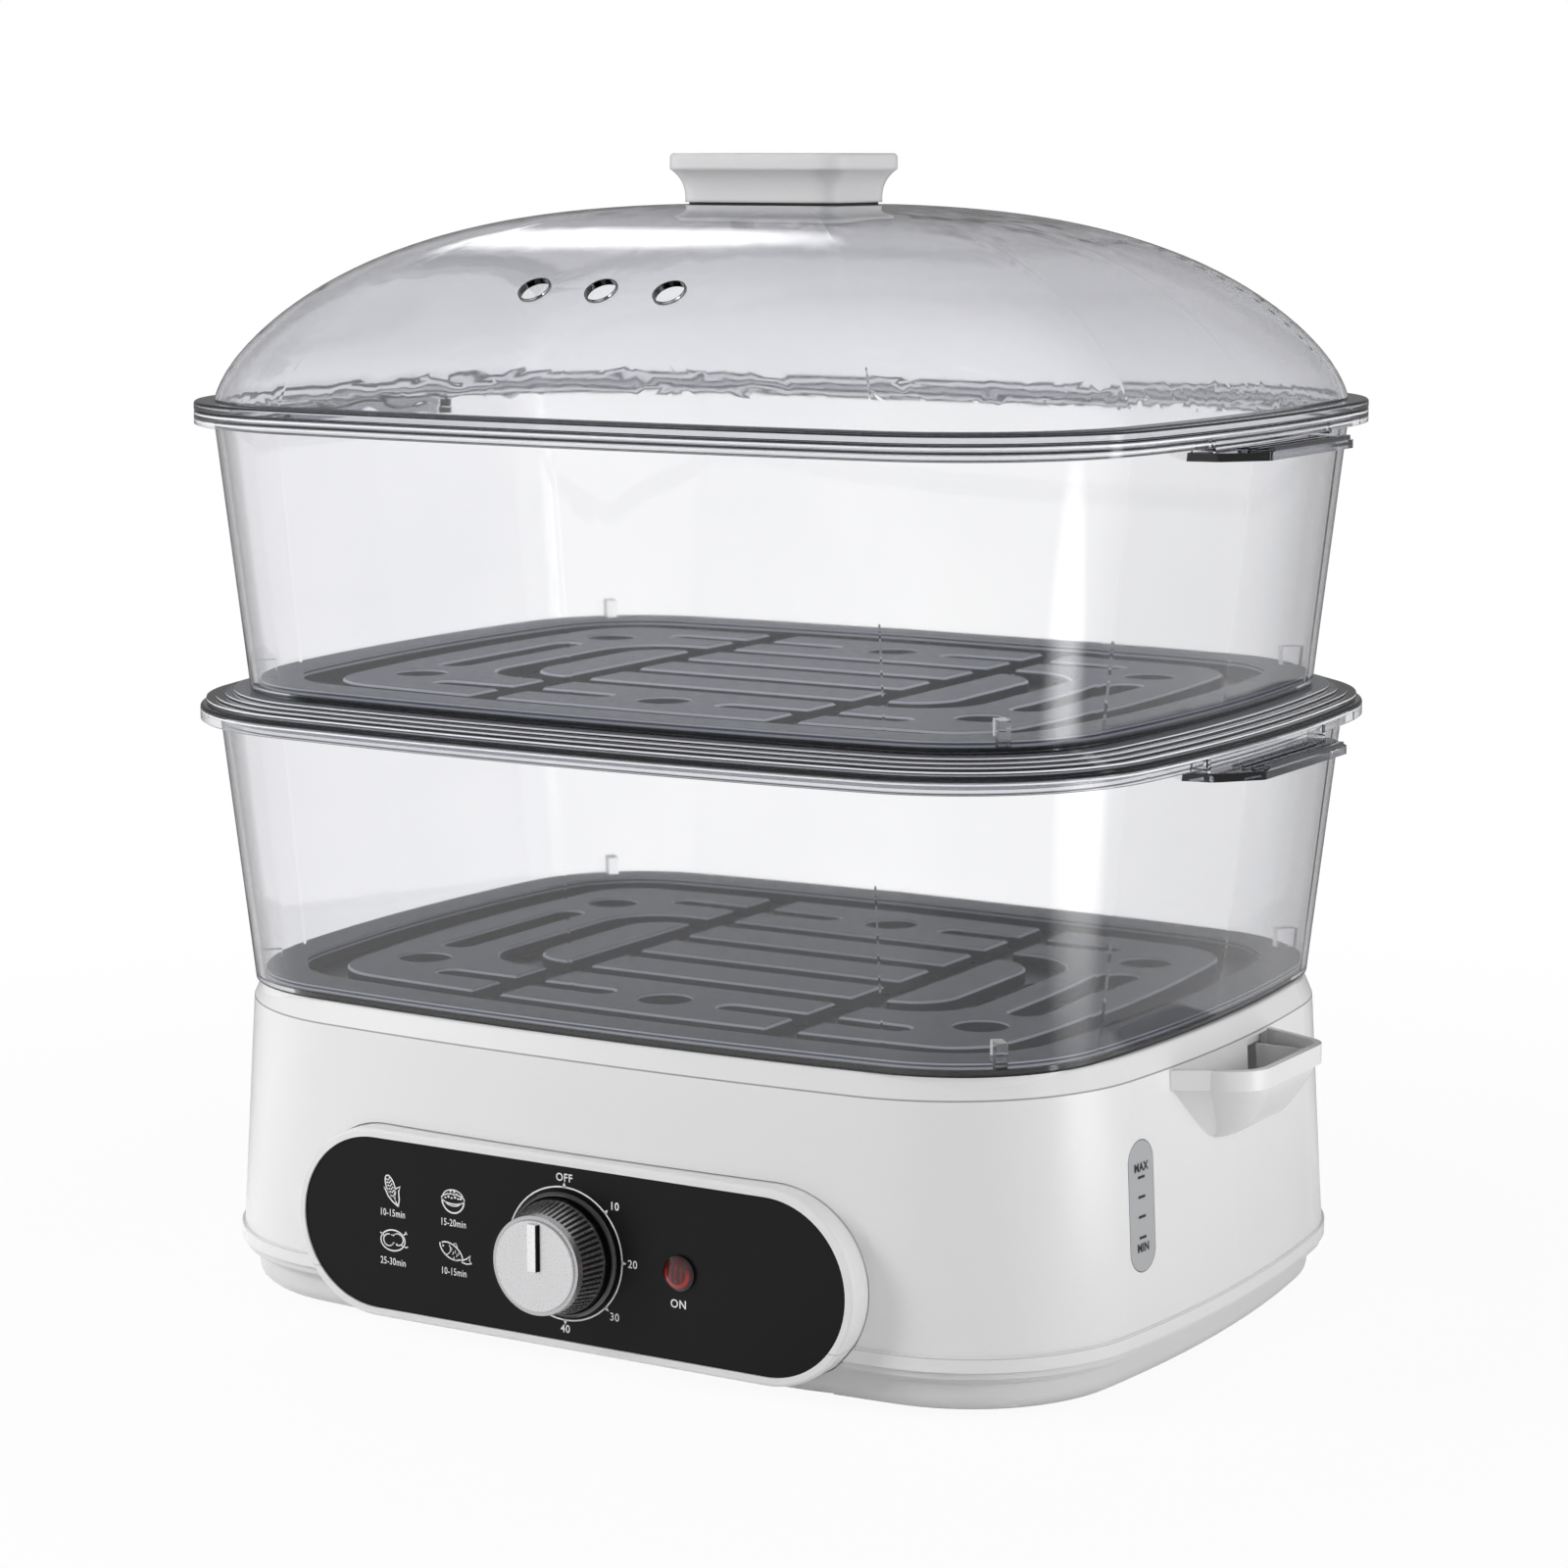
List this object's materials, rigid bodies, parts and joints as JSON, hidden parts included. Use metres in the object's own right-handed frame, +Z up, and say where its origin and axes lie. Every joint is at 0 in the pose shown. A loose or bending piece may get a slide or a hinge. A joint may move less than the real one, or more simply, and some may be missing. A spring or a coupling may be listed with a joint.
{
  "type": "electric food steamer",
  "caption": "Family-size electric food steamer: white base with a clockwork timer knob and filling spouts, clear stacked bowls with slotted trays, and a domed lid.",
  "frame": {"origin": "middle of the whole steamer in plan, on the surface that its rubber feet stand on", "axes": "+Z up; -Y is the front with the timer knob; +X is the side with the water level window"},
  "size_m": [0.374, 0.2904, 0.3729],
  "materials": {
    "white_shell": "gloss white ABS, faint waviness",
    "white_pan": "white moulded plastic, fine spark texture",
    "rubber": "matt grey rubber",
    "gasket": "soft black silicone",
    "screw_steel": "zinc plated",
    "window_clear": "clear polycarbonate",
    "panel_black": "satin black printed plate",
    "timer_black": "black moulded case",
    "bell_steel": "pressed steel",
    "shaft_steel": "turned steel",
    "knob_grey": "satin metallic grey, ribbed",
    "cap_silver": "bright metallic silver coat",
    "lens_red": "clear red jewel",
    "lamp_glass": "neon lamp",
    "stainless": "stainless sheet and tube",
    "thermostat_grey": "phenolic body",
    "guide_grey": "light grey polypropylene",
    "wire_brown": "silicone insulation",
    "wire_blue": "silicone insulation",
    "terminal_white": "nylon",
    "clear_grey": "clear grey-tinted plastic",
    "ring_clear": "clear grey-tinted plastic",
    "tray_smoke": "smoke grey translucent plastic",
    "drip_smoke": "smoke grey translucent plastic",
    "handle_clear": "clear grey-tinted plastic"
  },
  "bodies": {
    "base": {"base_shell": "white_shell", "base_pan": "white_pan", "rubber_feet": "rubber", "pan_screws": "screw_steel", "water_tank": "white_shell", "tank_screws": "screw_steel", "level_window": "window_clear", "window_gasket": "gasket", "panel_bezel": "white_shell", "panel_fascia": "panel_black", "bezel_screws": "screw_steel", "timer_case": "timer_black", "timer_screws": "screw_steel", "timer_bell": "bell_steel", "indicator_lens": "lens_red", "indicator_lamp": "lamp_glass", "heater_gasket": "gasket", "heater_plate": "stainless", "heating_element": "stainless", "heater_clamp_ring": "stainless", "heater_screws": "screw_steel", "heater_nuts": "screw_steel", "thermostat": "thermostat_grey", "cord_gland": "rubber", "cord_clamp": "terminal_white", "cord_clamp_screws": "screw_steel", "terminal_block": "terminal_white", "terminal_screws": "screw_steel", "timer_wire": "wire_brown", "heater_wires": "wire_blue", "lamp_wires": "wire_blue"},
    "knob": {"timer_knob": "knob_grey", "knob_cap": "cap_silver", "timer_shaft": "shaft_steel"},
    "steam_guide": {"steam_guide": "guide_grey"},
    "drip_tray": {"drip_tray": "drip_smoke"},
    "lower_bowl": {"lower_bowl": "clear_grey"},
    "lower_tray": {"lower_tray": "tray_smoke"},
    "stacking_ring": {"stacking_ring": "ring_clear"},
    "upper_bowl": {"upper_bowl": "clear_grey"},
    "upper_tray": {"upper_tray": "tray_smoke"},
    "lid": {"lid_dome": "clear_grey", "handle_gasket": "gasket", "lid_handle": "handle_clear", "handle_plate": "handle_clear", "handle_screws": "screw_steel"}
  },
  "joints": [
    {"name": "timer_turn", "type": "hinge", "parent": "base", "child": "knob", "pos_m": [0, -0.12775, 0.038], "axis": [0, 1, 0], "range_deg": [0, 180]},
    {"name": "steam_guide_lift", "type": "slide", "parent": "base", "child": "steam_guide", "axis": [0, 0, 1], "range_m": [0, 0.015]},
    {"name": "drip_tray_lift", "type": "slide", "parent": "base", "child": "drip_tray", "axis": [0, 0, 1], "range_m": [0, 0.04]},
    {"name": "lower_bowl_lift", "type": "slide", "parent": "drip_tray", "child": "lower_bowl", "axis": [0, 0, 1], "range_m": [0, 0.08]},
    {"name": "lower_tray_lift", "type": "slide", "parent": "lower_bowl", "child": "lower_tray", "axis": [0, 0, 1], "range_m": [0, 0.06]},
    {"name": "stacking_ring_lift", "type": "slide", "parent": "lower_bowl", "child": "stacking_ring", "axis": [0, 0, 1], "range_m": [0, 0.03]},
    {"name": "upper_bowl_lift", "type": "slide", "parent": "stacking_ring", "child": "upper_bowl", "axis": [0, 0, 1], "range_m": [0, 0.08]},
    {"name": "upper_tray_lift", "type": "slide", "parent": "upper_bowl", "child": "upper_tray", "axis": [0, 0, 1], "range_m": [0, 0.06]},
    {"name": "lid_lift", "type": "slide", "parent": "upper_bowl", "child": "lid", "axis": [0, 0, 1], "range_m": [0, 0.12]}
  ]
}
